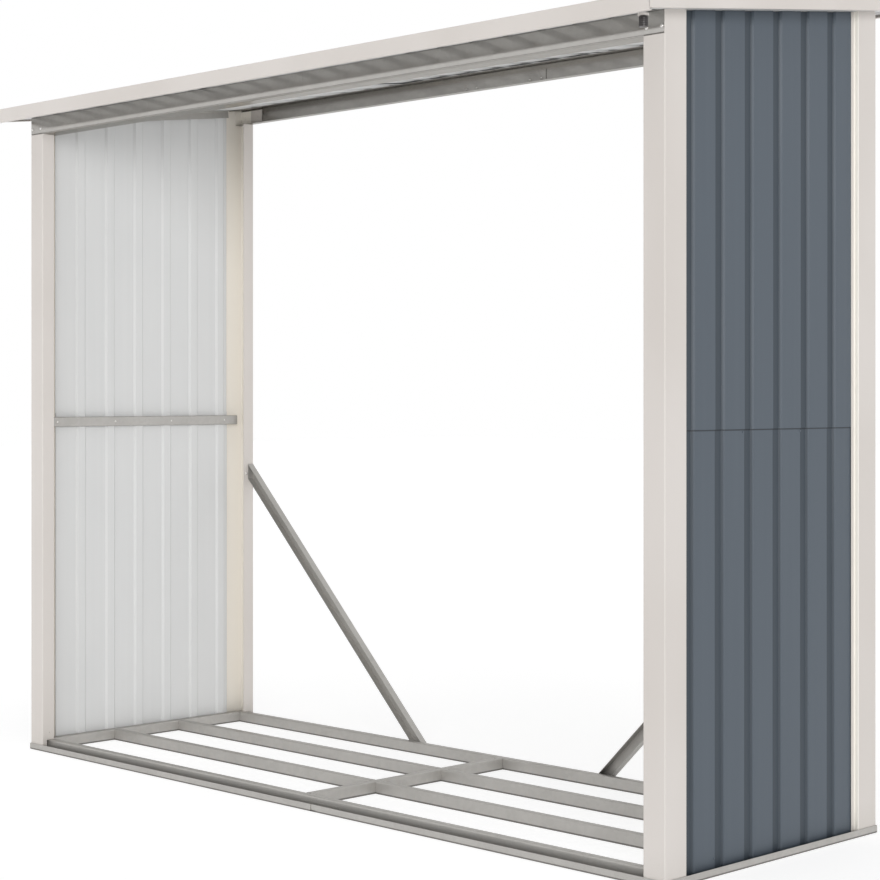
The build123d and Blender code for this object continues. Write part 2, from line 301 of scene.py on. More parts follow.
@dataclass(frozen=True)
class CreamPaint:
    """Satin off-white powder coat on the posts, corner brackets and roof trims."""

    name: str = "cream_powder_coat"
    colour: Colour = (0.690, 0.650, 0.618)
    shade: Colour = (0.640, 0.598, 0.562)
    # Painted light: a lighter, warmer cream for the posts' inner faces, in place of the light that falls into
    # their pockets.
    inside: Colour = (0.960, 0.920, 0.845)
    dust: Colour = (0.520, 0.490, 0.450)
    side_inside: float = 0.0
    hem_inside: float = 0.0
    side_blend: float = 0.002
    hem_blend: float = 0.004
    pocket_light_span: Span = (0.2, 0.8)
    drift_size: Size = (0.35, 0.35, 0.7)
    drift_span: Span = (0.3, 0.7)
    drift_rough: float = 0.06
    speck_size: Size = (0.003, 0.003, 0.003)
    speck_span: Span = (0.62, 0.72)
    speck_share: float = 0.5
    dust_height: float = 0.09
    dust_share: float = 0.3
    dust_rough: float = 0.2
    peel_size: Size = (0.0022, 0.0022, 0.0022)
    peel_depth: float = 0.00004
    peel_strength: float = 0.6
    roughness: float = 0.34
    specular: float = 0.45

    def build(self) -> bpy.types.Material:
        """Build slow colour drift, orange peel, dust near the ground and painted light on the inner faces of
        the posts.

        Returns:
            The material.
        """
        shader = Shader(bpy.data.materials.new(self.name))
        drift = shader.noise(self.drift_size, detail=2.0).ramp(*self.drift_span)
        colour = shader.mix(drift, self.colour, self.shade)
        toward_x, toward_y, _ = shader.normal()
        inward_x = 0.0 - toward_x * shader.x.math("SIGN")
        inward_y = 0.0 - toward_y * shader.y.math("SIGN")
        pocket = abs(shader.x).ramp(self.hem_inside, self.hem_inside + self.hem_blend)
        pocket = pocket * (1 - abs(shader.x).ramp(self.side_inside, self.side_inside + self.side_blend))
        # Painted light: faces that look inward inside a post's pocket take the lighter cream.
        painted_pocket_light = inward_x.math("MAXIMUM", inward_y).ramp(*self.pocket_light_span) * pocket
        colour = shader.mix(painted_pocket_light, colour, self.inside)
        specks = shader.noise(self.speck_size, detail=2.0).ramp(*self.speck_span)
        low = 1 - shader.z.ramp(0.0, self.dust_height)
        dusty = low * self.dust_share + low * specks * self.speck_share
        peel = shader.noise(self.peel_size, detail=1.0)
        return shader.surface(
            {
                "Base Color": shader.mix(dusty, colour, self.dust),
                "Roughness": drift * self.drift_rough + dusty * self.dust_rough + self.roughness,
                "Normal": shader.bump(peel, self.peel_depth, self.peel_strength),
                "Specular IOR Level": self.specular,
            }
        )


@dataclass(frozen=True)
class CoatedSheet:
    """Corrugated sheet with a blue-grey face and a pale back coat."""

    name: str
    side: CoatedSide
    outer_face: float = 0.0
    colour: Colour = (0.090, 0.110, 0.134)
    faded: Colour = (0.100, 0.121, 0.145)
    # Painted shade: darker blue-grey for the grooves, where shade gathers.
    groove: Colour = (0.054, 0.068, 0.084)
    back: Colour = (0.700, 0.702, 0.698)
    back_shade: Colour = (0.670, 0.674, 0.672)
    facing_span: Span = (-0.02, 0.02)
    wall_streak_size: Size = (0.5, 0.018, 0.9)
    roof_streak_size: Size = (0.018, 0.9, 0.5)
    streak_span: Span = (0.35, 0.75)
    streak_fade: float = 0.35
    streak_back: float = 0.3
    cloud_size: Size = (0.25, 0.25, 0.4)
    cloud_span: Span = (0.3, 0.75)
    cloud_fade: float = 0.4
    cloud_back: float = 0.6
    cloud_rough: float = 0.08
    flat_depth: float = 0.0022
    groove_depth: float = 0.0054
    seam: float = 0.0
    # Painted shadow under the seam: its band below the upper sheet's edge, its fade and its strength.
    seam_top: Span = (-0.0003, 0.0001)
    seam_width: float = 0.0038
    seam_full: float = 0.6
    seam_shade: float = 0.62
    seam_shadow_colour: Colour = (0.008, 0.010, 0.013)
    peel_size: Size = (0.0018, 0.0018, 0.0018)
    peel_depth: float = 0.00003
    peel_strength: float = 0.6
    roughness: float = 0.38
    specular: float = 0.25

    def build(self) -> bpy.types.Material:
        """Build the face and the back by the side, streaks along the ribs, fine peel, painted shade in the
        grooves and a painted shadow under the seam.

        Returns:
            The material.
        """
        shader = Shader(bpy.data.materials.new(self.name))
        toward_x, _, toward_z = shader.normal()
        if self.side is CoatedSide.OUTWARD:
            facing = toward_x * shader.x.math("SIGN")
            streak_size = self.wall_streak_size
        else:
            facing = toward_z
            streak_size = self.roof_streak_size
        outside = facing.ramp(*self.facing_span)
        streaks = shader.noise(streak_size).ramp(*self.streak_span)
        clouds = shader.noise(self.cloud_size).ramp(*self.cloud_span)
        face = shader.mix(streaks * self.streak_fade + clouds * self.cloud_fade, self.colour, self.faded)
        if self.side is CoatedSide.OUTWARD:
            # Painted shade: the deeper a face lies behind the outer face, the more of the groove colour it
            # takes.
            depth = self.outer_face - abs(shader.x)
            face = shader.mix(depth.ramp(self.flat_depth, self.groove_depth), face, self.groove)
            # Painted shadow: a dark line on the lower sheet just under the edge of the upper sheet.
            below = self.seam - shader.z
            faint = below.ramp(self.seam_width * self.seam_full, self.seam_width)
            shadow = below.ramp(*self.seam_top) * (1 - faint)
            face = shader.mix(shadow * self.seam_shade, face, self.seam_shadow_colour)
        back = shader.mix(clouds * self.cloud_back + streaks * self.streak_back, self.back, self.back_shade)
        peel = shader.noise(self.peel_size, detail=1.0)
        return shader.surface(
            {
                "Base Color": shader.mix(outside, back, face),
                "Roughness": clouds * self.cloud_rough + self.roughness,
                "Normal": shader.bump(peel, self.peel_depth, self.peel_strength),
                "Specular IOR Level": self.specular,
            }
        )


@dataclass(frozen=True)
class Roll:
    """Wide roll of a beam's outer lower edge, as the bend of its shading."""

    face: float
    front_bottom: float
    rear_bottom: float
    radius: float = 0.018
    drop: float = 0.0045
    facing_span: Span = (0.1, 0.5)
    rear_span: Span = (-0.1, 0.1)

    def bend(self, shader: Shader, under: bpy.types.NodeSocket) -> bpy.types.NodeSocket:
        """Bend the normal near the edge.

        Args:
            shader: the node tree of the beam's finish.
            under: the finer bumps.

        Returns:
            The bent normal.
        """
        _, toward_y, toward_z = shader.normal()
        outward = (toward_y * shader.y.math("SIGN")).ramp(*self.facing_span)
        downward = (0.0 - toward_z).ramp(*self.facing_span)
        rear = shader.y.ramp(*self.rear_span)
        bottom = rear * (self.rear_bottom - self.front_bottom) + self.front_bottom
        near_z = (bottom + self.radius - shader.z) * (1 / self.radius)
        near_z = near_z.math("MAXIMUM", 0.0).math("MINIMUM", 1.0)
        near_y = ((abs(shader.y) - (self.face - self.radius)) * (1 / self.radius)).math("MAXIMUM", 0.0)
        near = near_z * near_z * near_z * outward + near_y * near_y * near_y * downward
        return shader.bump(1 - near, self.drop, under=under)


@dataclass(frozen=True)
class Galvanised:
    """Smooth galvanised strip steel, with faint crystals and rolling lines."""

    name: str
    grain: Grain
    roughness: float = 0.20
    metallic: float = 0.95
    roll: Roll | None = None
    colour: Colour = (0.492, 0.478, 0.456)
    dark: Colour = (0.418, 0.404, 0.384)
    edge: Colour = (0.57, 0.56, 0.54)
    # Painted shade: dark colour for the lowest few millimetres, where the steel meets the ground.
    foot: Colour = (0.120, 0.112, 0.104)
    foot_height: float = 0.0052
    foot_full: float = 0.6
    foot_shade_share: float = 0.8
    foot_rough: float = 0.2
    cloud_size: Size = (0.12, 0.12, 0.12)
    cloud_span: Span = (0.3, 0.75)
    cloud_tone: float = 0.45
    cloud_rough: float = 0.05
    crystal: float = 0.011
    crystal_tone: float = 0.3
    crystal_rough: float = 0.04
    line_width: float = 0.0012
    line_length: float = 0.25
    line_tone: float = 0.25
    line_rough: float = 0.03
    line_depth: float = 0.00003
    line_strength: float = 0.5

    def build(self) -> bpy.types.Material:
        """Build crystals, rolling lines, cloudy patches and a duller line of painted shade along the ground.

        Returns:
            The material.
        """
        shader = Shader(bpy.data.materials.new(self.name))
        size = [self.line_width] * len(Grain)
        size[self.grain.value] = self.line_length
        lines = shader.noise(size, detail=2.0)
        crystals = shader.cells(self.crystal)
        clouds = shader.noise(self.cloud_size, detail=4.0).ramp(*self.cloud_span)
        tone = clouds * self.cloud_tone + crystals * self.crystal_tone + lines * self.line_tone
        colour = shader.mix(tone, self.colour, self.dark)
        # Painted shade along the ground, darkest at the floor.
        foot = 1 - shader.z.ramp(self.foot_height * self.foot_full, self.foot_height)
        rough = crystals * self.crystal_rough + clouds * self.cloud_rough + lines * self.line_rough
        bumps = shader.bump(lines, self.line_depth, self.line_strength)
        if self.roll is not None:
            bumps = self.roll.bend(shader, bumps)
        return shader.surface(
            {
                "Base Color": shader.mix(foot * self.foot_shade_share, colour, self.foot),
                "Metallic": self.metallic,
                "Specular Tint": (*self.edge, 1),
                "Roughness": rough + foot * self.foot_rough + self.roughness,
                "Normal": bumps,
            }
        )


@dataclass(frozen=True)
class ZincPlate:
    """Bright zinc on screws, bolts and washers."""

    name: str = "zinc_plate"
    colour: Colour = (0.82, 0.80, 0.78)
    dull: Colour = (0.66, 0.65, 0.63)
    cloud_size: Size = (0.006, 0.006, 0.006)
    cloud_span: Span = (0.35, 0.7)
    cloud_rough: float = 0.15
    metallic: float = 0.9
    roughness: float = 0.22

    def build(self) -> bpy.types.Material:
        """Build slight clouding of tone and gloss.

        Returns:
            The material.
        """
        shader = Shader(bpy.data.materials.new(self.name))
        clouds = shader.noise(self.cloud_size).ramp(*self.cloud_span)
        return shader.surface(
            {
                "Base Color": shader.mix(clouds, self.colour, self.dull),
                "Metallic": self.metallic,
                "Roughness": clouds * self.cloud_rough + self.roughness,
            }
        )


@dataclass(frozen=True)
class BlackPlastic:
    """Matt black moulded plastic of the ribbed knob."""

    name: str = "black_plastic"
    colour: Colour = (0.045, 0.040, 0.040)
    worn: Colour = (0.110, 0.100, 0.100)
    rub_size: Size = (0.004, 0.004, 0.004)
    rub_span: Span = (0.55, 0.75)
    rub_rough: float = 0.1
    grain_size: Size = (0.0006, 0.0006, 0.0006)
    grain_depth: float = 0.00004
    grain_strength: float = 0.5
    roughness: float = 0.36

    def build(self) -> bpy.types.Material:
        """Build fine moulded grain and pale rubbed patches.

        Returns:
            The material.
        """
        shader = Shader(bpy.data.materials.new(self.name))
        rubbed = shader.noise(self.rub_size).ramp(*self.rub_span)
        grain = shader.noise(self.grain_size, detail=1.0)
        return shader.surface(
            {
                "Base Color": shader.mix(rubbed, self.colour, self.worn),
                "Roughness": rubbed * self.rub_rough + self.roughness,
                "Normal": shader.bump(grain, self.grain_depth, self.grain_strength),
            }
        )


def clear_selection() -> None:
    """Leave edit mode and deselect every object."""
    if bpy.context.object and bpy.context.object.mode == "EDIT":
        bpy.ops.object.mode_set(mode="OBJECT")
    bpy.ops.object.select_all(action="DESELECT")


def pick_faces(piece: bpy.types.Object, wanted: Callable[[bpy.types.MeshPolygon], bool]) -> None:
    """Select some faces of the piece that is in edit mode.

    Args:
        piece: the piece being shaped.
        wanted: says of a face whether it is selected.
    """
    bpy.ops.object.mode_set(mode="OBJECT")
    for vertex in piece.data.vertices:
        vertex.select = False
    for edge in piece.data.edges:
        edge.select = False
    for face in piece.data.polygons:
        face.select = wanted(face)
    bpy.ops.object.mode_set(mode="EDIT")
    bpy.ops.mesh.select_mode(type="FACE")


def pick_top(piece: bpy.types.Object) -> None:
    """Select the highest level face of the piece that is in edit mode.

    Args:
        piece: the piece being shaped.
    """
    bpy.ops.object.mode_set(mode="OBJECT")
    top = max(face.center.z for face in piece.data.polygons)
    pick_faces(piece, lambda face: face.center.z > top - TINY and face.normal.z > LEAST_LEVEL)


def grow(height: float, scale: float) -> None:
    """Extrude the selected top face and scale its copy.

    Args:
        height: how far it is moved up, in metres.
        scale: its new size against the old one.
    """
    bpy.ops.mesh.extrude_region_move(TRANSFORM_OT_translate={"value": (0, 0, height)})
    bpy.ops.transform.resize(value=(scale, scale, 1))


def start_round(name: str, sides: int, radius: float, height: float) -> bpy.types.Object:
    """Add a short cylinder that stands on the origin, in edit mode.

    Args:
        name: name of the new piece.
        sides: number of its sides.
        radius: its radius, in metres.
        height: its height, in metres.

    Returns:
        The new piece.
    """
    clear_selection()
    middle = (0, 0, height / 2)
    bpy.ops.mesh.primitive_cylinder_add(vertices=sides, radius=radius, depth=height, location=middle)
    piece = bpy.context.object
    piece.name = name
    bpy.ops.object.transform_apply(location=True, rotation=True, scale=True)
    bpy.ops.object.mode_set(mode="EDIT")
    return piece


def finish_shape(piece: bpy.types.Object, angle: float = 35.0) -> None:
    """Leave edit mode with outward faces and smooth shading up to an angle.

    Args:
        piece: the piece being shaped.
        angle: largest angle that is shaded smooth, in degrees.
    """
    bpy.ops.mesh.select_all(action="SELECT")
    bpy.ops.mesh.remove_doubles(threshold=TINY)
    bpy.ops.mesh.normals_make_consistent(inside=False)
    clear_selection()
    piece.select_set(True)
    bpy.context.view_layer.objects.active = piece
    bpy.ops.object.shade_smooth_by_angle(angle=math.radians(angle))


def join(name: str, parts: list[bpy.types.Object]) -> bpy.types.Object:
    """Join meshes to one piece at the origin.

    Args:
        name: name of the joined piece.
        parts: its parts, already in place.

    Returns:
        The joined piece.
    """
    clear_selection()
    for part in parts:
        part.select_set(True)
    bpy.context.view_layer.objects.active = parts[0]
    if len(parts) > 1:
        bpy.ops.object.join()
    piece = bpy.context.object
    bpy.ops.object.transform_apply(location=True, rotation=True, scale=True)
    piece.name = name
    piece.data.name = name
    return piece


def own(piece: bpy.types.Object, material: bpy.types.Material) -> None:
    """Give a new piece its finish and let it ride on the store.

    Args:
        piece: the new piece.
        material: its finish.
    """
    piece.data.materials.clear()
    piece.data.materials.append(material)
    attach(piece, BODY)
    log.info("%s: %d faces", piece.name, len(piece.data.polygons))


def dress(node: str, material: bpy.types.Material) -> None:
    """Give a node of the frame its finish.

    Args:
        node: name of the node.
        material: its finish.
    """
    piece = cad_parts[node]
    piece.data.materials.clear()
    piece.data.materials.append(material)
    log.info("%s is dressed in %s", node, material.name)


def box(*nodes: str) -> tuple[Vector, Vector]:
    """Measure some nodes together.

    Args:
        nodes: their names.

    Returns:
        The lowest and the highest corner of their box.
    """
    corners = [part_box(node) for node in nodes]
    low = Vector(min(corner[0][axis] for corner in corners) for axis in range(3))
    high = Vector(max(corner[1][axis] for corner in corners) for axis in range(3))
    return low, high


def spread(reach: float, pitch: float) -> list[float]:
    """Space places evenly to both sides of the middle.

    Args:
        reach: the farthest that a place may be from the middle, in metres.
        pitch: distance from one to the next, in metres.

    Returns:
        Their distances from the middle, from low to high.
    """
    count = int(reach / pitch)
    return [number * pitch for number in range(-count, count + 1)]


def seat(node: str, start: Vector, direction: Vector) -> tuple[Vector, Vector]:
    """Find where a straight line meets a node, to set a screw on its surface.

    Args:
        node: name of the node.
        start: where the line starts.
        direction: where it goes.

    Returns:
        The point on the surface, and the direction against the line.
    """
    found, point, _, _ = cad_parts[node].ray_cast(start, direction.normalized())
    if not found:
        raise ValueError(f"no surface of {node} on the line from {tuple(start)}")
    return point, -direction.normalized()


@dataclass
class Fastener:
    """A small head that is modelled once and copied to each place."""

    name: str
    radius: float
    height: float
    sunk: float = 0.0003
    made: bpy.types.Object = field(init=False)

    def place(self, name: str, places: list[tuple[Vector, Vector]]) -> bpy.types.Object:
        """Copy the head to each place and join the copies.

        Args:
            name: name of the joined piece.
            places: point on the surface and direction out of it, for each head.

        Returns:
            The joined piece.
        """
        copies = []
        for point, direction in places:
            copy = self.made.copy()
            copy.data = self.made.data.copy()
            bpy.context.collection.objects.link(copy)
            copy.location = point - direction.normalized() * self.sunk
            copy.rotation_mode = "QUATERNION"
            copy.rotation_quaternion = direction.to_track_quat("Z", "Y")
            copies.append(copy)
        return join(name, copies)

    def discard(self) -> None:
        """Remove the pattern once all its copies are made."""
        bpy.data.objects.remove(self.made)


@dataclass
class HexScrew(Fastener):
    """Hexagon head on a sealing washer, for the sheets.

    A pair of numbers is a step: its rise as a share of the height, and its taper.
    """

    sides: int = 6
    chamfer: Span = (0.14, 0.86)
    recess_rim: float = 0.28
    recess: Span = (-0.22, 0.9)
    washer_sides: int = 20
    washer_radius: float = 0.0070
    washer_height: float = 0.0012
    washer_lip: Span = (0.3, 0.93)
    washer_seat: float = 1.2
    washer_dish: Span = (0.4, 0.92)

    def build(self) -> None:
        """Model a dished washer and a head with a chamfered, sunk top."""
        washer = start_round(f"{self.name}_washer", self.washer_sides, self.washer_radius, self.washer_height)
        seat_taper = self.radius * self.washer_seat / self.washer_radius
        for rise, taper in (self.washer_lip, (0.0, seat_taper), self.washer_dish):
            pick_top(washer)
            grow(self.washer_height * rise, taper)
        finish_shape(washer)
        head = start_round(f"{self.name}_head", self.sides, self.radius, self.height)
        pick_top(head)
        grow(self.height * self.chamfer[0], self.chamfer[1])
        pick_top(head)
        bpy.ops.mesh.inset(thickness=self.radius * self.recess_rim)
        grow(self.height * self.recess[0], self.recess[1])
        finish_shape(head)
        head.location.z = self.washer_height
        self.made = join(self.name, [washer, head])


@dataclass
class DomeScrew(Fastener):
    """Domed head with a small cross on it, for the frame. The cross is measured against the head."""

    sides: int = 16
    rim_share: float = 0.25
    dome_steps: int = 3
    dome_angle: float = 60.0
    flat_inset: float = 0.18
    smooth_angle: float = 50.0
    cross_radius: float = 0.34
    cross_height: float = 0.12
    cross_slim: float = 0.3
    cross_rise: float = 0.93

    def build(self) -> None:
        """Model a low rim, a dome in steps and a small cross on its top."""
        head = start_round(f"{self.name}_head", self.sides, self.radius, self.height * self.rim_share)
        for step in range(1, self.dome_steps + 1):
            before = math.cos(math.radians(self.dome_angle * (step - 1) / self.dome_steps))
            after = math.cos(math.radians(self.dome_angle * step / self.dome_steps))
            pick_top(head)
            grow(self.height * (1 - self.rim_share) / self.dome_steps, after / before)
        pick_top(head)
        bpy.ops.mesh.inset(thickness=self.radius * self.flat_inset)
        finish_shape(head, self.smooth_angle)
        bars = []
        for scale in ((1.0, self.cross_slim, 1.0), (self.cross_slim, 1.0, 1.0)):
            size = (self.radius * self.cross_radius, self.height * self.cross_height)
            bar = start_round(f"{self.name}_cross", 4, *size)
            bpy.ops.mesh.select_all(action="SELECT")
            bpy.ops.transform.rotate(value=math.radians(45), orient_axis="Z", center_override=(0, 0, 0))
            bpy.ops.transform.resize(value=scale)
            finish_shape(bar)
            bar.location.z = self.height * self.cross_rise
            bars.append(bar)
        self.made = join(self.name, [head, *bars])


@dataclass
class Finishes:
    """Every material of the store, built once."""

    hem_width: float = 0.006
    beam_roughness: float = 0.17
    steel_roughness: float = 0.36
    steel_metallic: float = 0.55
    cream: bpy.types.Material = field(init=False)
    wall: bpy.types.Material = field(init=False)
    roof: bpy.types.Material = field(init=False)
    zinc: bpy.types.Material = field(init=False)
    plastic: bpy.types.Material = field(init=False)
    beam: bpy.types.Material = field(init=False)
    steel: dict[Grain, bpy.types.Material] = field(init=False)

    def build(self) -> None:
        """Build the materials."""
        post_low, post_high = box("front_right_post")
        self.cream = CreamPaint(side_inside=post_high.x, hem_inside=post_low.x + self.hem_width).build()
        wall_low, wall_high = box("right_wall_upper")
        self.wall = CoatedSheet("wall_coat", CoatedSide.OUTWARD, wall_high.x, seam=wall_low.z).build()
        self.roof = CoatedSheet("roof_coat", CoatedSide.UPWARD).build()
        self.zinc = ZincPlate().build()
        self.plastic = BlackPlastic().build()
        front_low, _ = box("front_beam_left")
        rear_low, _ = box("rear_beam_left")
        roll = Roll(-front_low.y, front_low.z, rear_low.z)
        self.beam = Galvanised("galvanised_beam", Grain.X, self.beam_roughness, roll=roll).build()
        self.steel = {
            grain: Galvanised(
                f"galvanised_{grain.name.lower()}", grain, self.steel_roughness, self.steel_metallic
            ).build()
            for grain in Grain
        }


@dataclass
class BaseFrame:
    """Base rails, their splices and the floor members."""

    finishes: Finishes
    screw: DomeScrew
    screw_inset: float = 0.020
    line_start: float = 0.1

    def dress(self) -> None:
        """Finish the rails and the floor members by their direction."""
        for place in PLACES:
            dress(f"{place}_base_splice", self.finishes.steel[Grain.X])
            for side in SIDES:
                dress(f"{place}_base_rail_{side}", self.finishes.steel[Grain.X])
                dress(f"{place}_joist_{side}", self.finishes.steel[Grain.X])
        for node in ("left_base_rail", "right_base_rail", "base_cross_member"):
            dress(node, self.finishes.steel[Grain.Y])

    def build(self) -> None:
        """Add a screw from above at each end of the floor members."""
        places = []
        for place in PLACES:
            for side in SIDES:
                node = f"{place}_joist_{side}"
                low, high = box(node)
                middle = (low.y + high.y) / 2
                for x in (low.x + self.screw_inset, high.x - self.screw_inset):
                    places.append(seat(node, Vector((x, middle, high.z + self.line_start)), DOWN))
        low, high = box("base_cross_member")
        for y in (low.y + self.screw_inset, high.y - self.screw_inset):
            places.append(seat("base_cross_member", Vector((0, y, high.z + self.line_start)), DOWN))
        own(self.screw.place("floor_member_screws", places), self.finishes.steel[Grain.X])


@dataclass
class Posts:
    """The four folded corner posts."""

    finishes: Finishes
    screw: DomeScrew
    hem_screw_depth: float = 0.0252
    hem_screw_height: float = 0.0525

    def dress(self) -> None:
        """Finish the posts."""
        for place in PLACES:
            for side in SIDES:
                dress(f"{place}_{side}_post", self.finishes.cream)

    def build(self) -> None:
        """Add the screw at the foot of each post's hem."""
        places = []
        for place, y_sign in PLACES.items():
            for side, x_sign in SIDES.items():
                low, high = box(f"{place}_{side}_post")
                face = low.y if y_sign < 0 else high.y
                hem = high.x if x_sign < 0 else low.x
                point = Vector((hem, face - y_sign * self.hem_screw_depth, self.hem_screw_height))
                places.append((point, Vector((-x_sign, 0, 0))))
        own(self.screw.place("post_foot_screws", places), self.finishes.cream)


@dataclass
class Beams:
    """Beams over the two open sides, with their splices and corner brackets."""

    finishes: Finishes
    bolt: DomeScrew
    bolt_insets: tuple[float, float] = (0.0086, 0.0495)
    bolt_rise: float = 0.0162
    splice_shifts: tuple[float, ...] = (-0.1434, -0.1009, 0.1009, 0.1434)
    splice_rise: float = 0.0108
    bracket_shifts: tuple[float, ...] = (0.022, 0.082)
    bracket_rise: float = 0.020

    def dress(self) -> None:
        """Finish the beams, splices and brackets."""
        for place in PLACES:
            dress(f"{place}_beam_splice", self.finishes.beam)
            for side in SIDES:
                dress(f"{place}_beam_{side}", self.finishes.beam)
                dress(f"{place}_{side}_bracket", self.finishes.cream)

    def build(self) -> None:
        """Add the bolts at the beams' ends, on their splices and on the brackets."""
        ends, splices, brackets = [], [], []
        for place, outward in PLACES.items():
            low, high = box(f"{place}_beam_left", f"{place}_beam_right")
            face_y = low.y if outward < 0 else high.y
            post_low, post_high = box(f"{place}_left_post", f"{place}_right_post")
            direction = Vector((0, outward, 0))
            for x_sign, edge in ((-1, post_low.x), (1, post_high.x)):
                for inset in self.bolt_insets:
                    point = Vector((edge - x_sign * inset, face_y, low.z + self.bolt_rise))
                    ends.append((point, direction))
            splice_low, splice_high = box(f"{place}_beam_splice")
            middle = (splice_low.x + splice_high.x) / 2
            for shift in self.splice_shifts:
                start = Vector((middle + shift, 0, low.z + self.splice_rise))
                splices.append(seat(f"{place}_beam_splice", start, direction))
            for side, x_sign in SIDES.items():
                node = f"{place}_{side}_bracket"
                bracket_low, bracket_high = box(node)
                corner = bracket_low.x if x_sign < 0 else bracket_high.x
                for shift in self.bracket_shifts:
                    start = Vector((corner - x_sign * shift, 0, bracket_low.z + self.bracket_rise))
                    brackets.append(seat(node, start, direction))
        own(self.bolt.place("beam_end_bolts", ends), self.finishes.zinc)
        own(self.bolt.place("beam_splice_bolts", splices), self.finishes.zinc)
        own(self.bolt.place("bracket_bolts", brackets), self.finishes.cream)


@dataclass
class Walls:
    """The two corrugated end walls and the rails on their inside."""

    finishes: Finishes
    screw: DomeScrew
    rail_screws: tuple[float, ...] = (-0.3240, -0.1190, 0.0887, 0.2948)
    rail_screw_height: float = 0.948
    seam_screws: tuple[float, ...] = (-0.1038, 0.1085)
    seam_screw_drop: float = 0.0064
    foot_screw: float = -0.2065
    foot_screw_height: float = 0.034
    line_start: float = 2.0

    def dress(self) -> None:
        """Finish the sheets and the rails."""
        for side in SIDES:
            for level in ("lower", "upper"):
                dress(f"{side}_wall_{level}", self.finishes.wall)
            for level in ("mid", "top"):
                dress(f"{side}_{level}_rail", self.finishes.steel[Grain.Y])

    def build(self) -> None:
        """Add the screws on the mid rails inside, and under the seams and at the feet outside."""
        inside, outside = [], []
        seam = box("right_wall_upper")[0].z
        for side, outward in SIDES.items():
            for y in self.rail_screws:
                start = Vector((0, -outward * y, self.rail_screw_height))
                inside.append(seat(f"{side}_mid_rail", start, Vector((outward, 0, 0))))
            spots = [(outward * y, seam - self.seam_screw_drop) for y in self.seam_screws]
            spots.append((outward * self.foot_screw, self.foot_screw_height))
            for y, z in spots:
                start = Vector((outward * self.line_start, y, z))
                outside.append(seat(f"{side}_wall_lower", start, Vector((-outward, 0, 0))))
        own(self.screw.place("mid_rail_screws", inside), self.finishes.zinc)
        own(self.screw.place("wall_screws", outside), self.finishes.wall)


@dataclass
class Braces:
    """The two diagonal braces at the rear."""

    finishes: Finishes
    bolt: DomeScrew
    end_inset: float = 0.030
    bolt_depth: float = 0.006

    def dress(self) -> None:
        """Finish the braces."""
        for side in SIDES:
            dress(f"{side}_brace", self.finishes.steel[Grain.X])

    def build(self) -> None:
        """Add the bolts that hold the braces to the rear posts' hems, seen from the store's middle."""
        places = []
        for side, x_sign in SIDES.items():
            post_low, post_high = box(f"rear_{side}_post")
            brace_low, brace_high = box(f"{side}_brace")
            hem = post_high.x if x_sign < 0 else post_low.x
            point = Vector((hem, brace_low.y - self.bolt_depth, brace_high.z - self.end_inset))
            places.append((point, Vector((-x_sign, 0, 0))))
        own(self.bolt.place("brace_end_bolts", places), self.finishes.zinc)


@dataclass
class Roof:
    """Three roof sheets and the trims round them."""

    finishes: Finishes
    sheet_screw: HexScrew
    trim_screw: DomeScrew
    sheet_parts: tuple[str, ...] = ("left", "middle", "right")
    sheet_screw_pitch: float = 0.2084
    sheet_screw_margin: float = 0.06
    trim_screw_pitch: float = 0.40
    trim_screw_margin: float = 0.05
    line_start: float = 3.0

    def dress(self) -> None:
        """Finish the sheets and the trims."""
        for part in self.sheet_parts:
            dress(f"roof_sheet_{part}", self.finishes.roof)
        for trim in ("front_fascia", "rear_fascia", "left_verge_trim", "right_verge_trim"):
            dress(trim, self.finishes.cream)

    def build(self) -> None:
        """Add the washered screws over both beams and the small screws on top of the trims."""
        sheets, trims = [], []
        middle_low, middle_high = box("roof_sheet_middle")
        _, right_high = box("roof_sheet_right")
        for place in PLACES:
            low, high = box(f"{place}_beam_left")
            y = (low.y + high.y) / 2
            for x in spread(right_high.x - self.sheet_screw_margin, self.sheet_screw_pitch):
                part = "left" if x < middle_low.x else "right" if x > middle_high.x else "middle"
                sheets.append(seat(f"roof_sheet_{part}", Vector((x, y, self.line_start)), DOWN))
            low, high = box(f"{place}_fascia")
            y = (low.y + high.y) / 2
            for x in spread(high.x - self.trim_screw_margin, self.trim_screw_pitch):
                trims.append(seat(f"{place}_fascia", Vector((x, y, self.line_start)), DOWN))
        own(self.sheet_screw.place("roof_screws", sheets), self.finishes.zinc)
        own(self.trim_screw.place("roof_trim_screws", trims), self.finishes.cream)


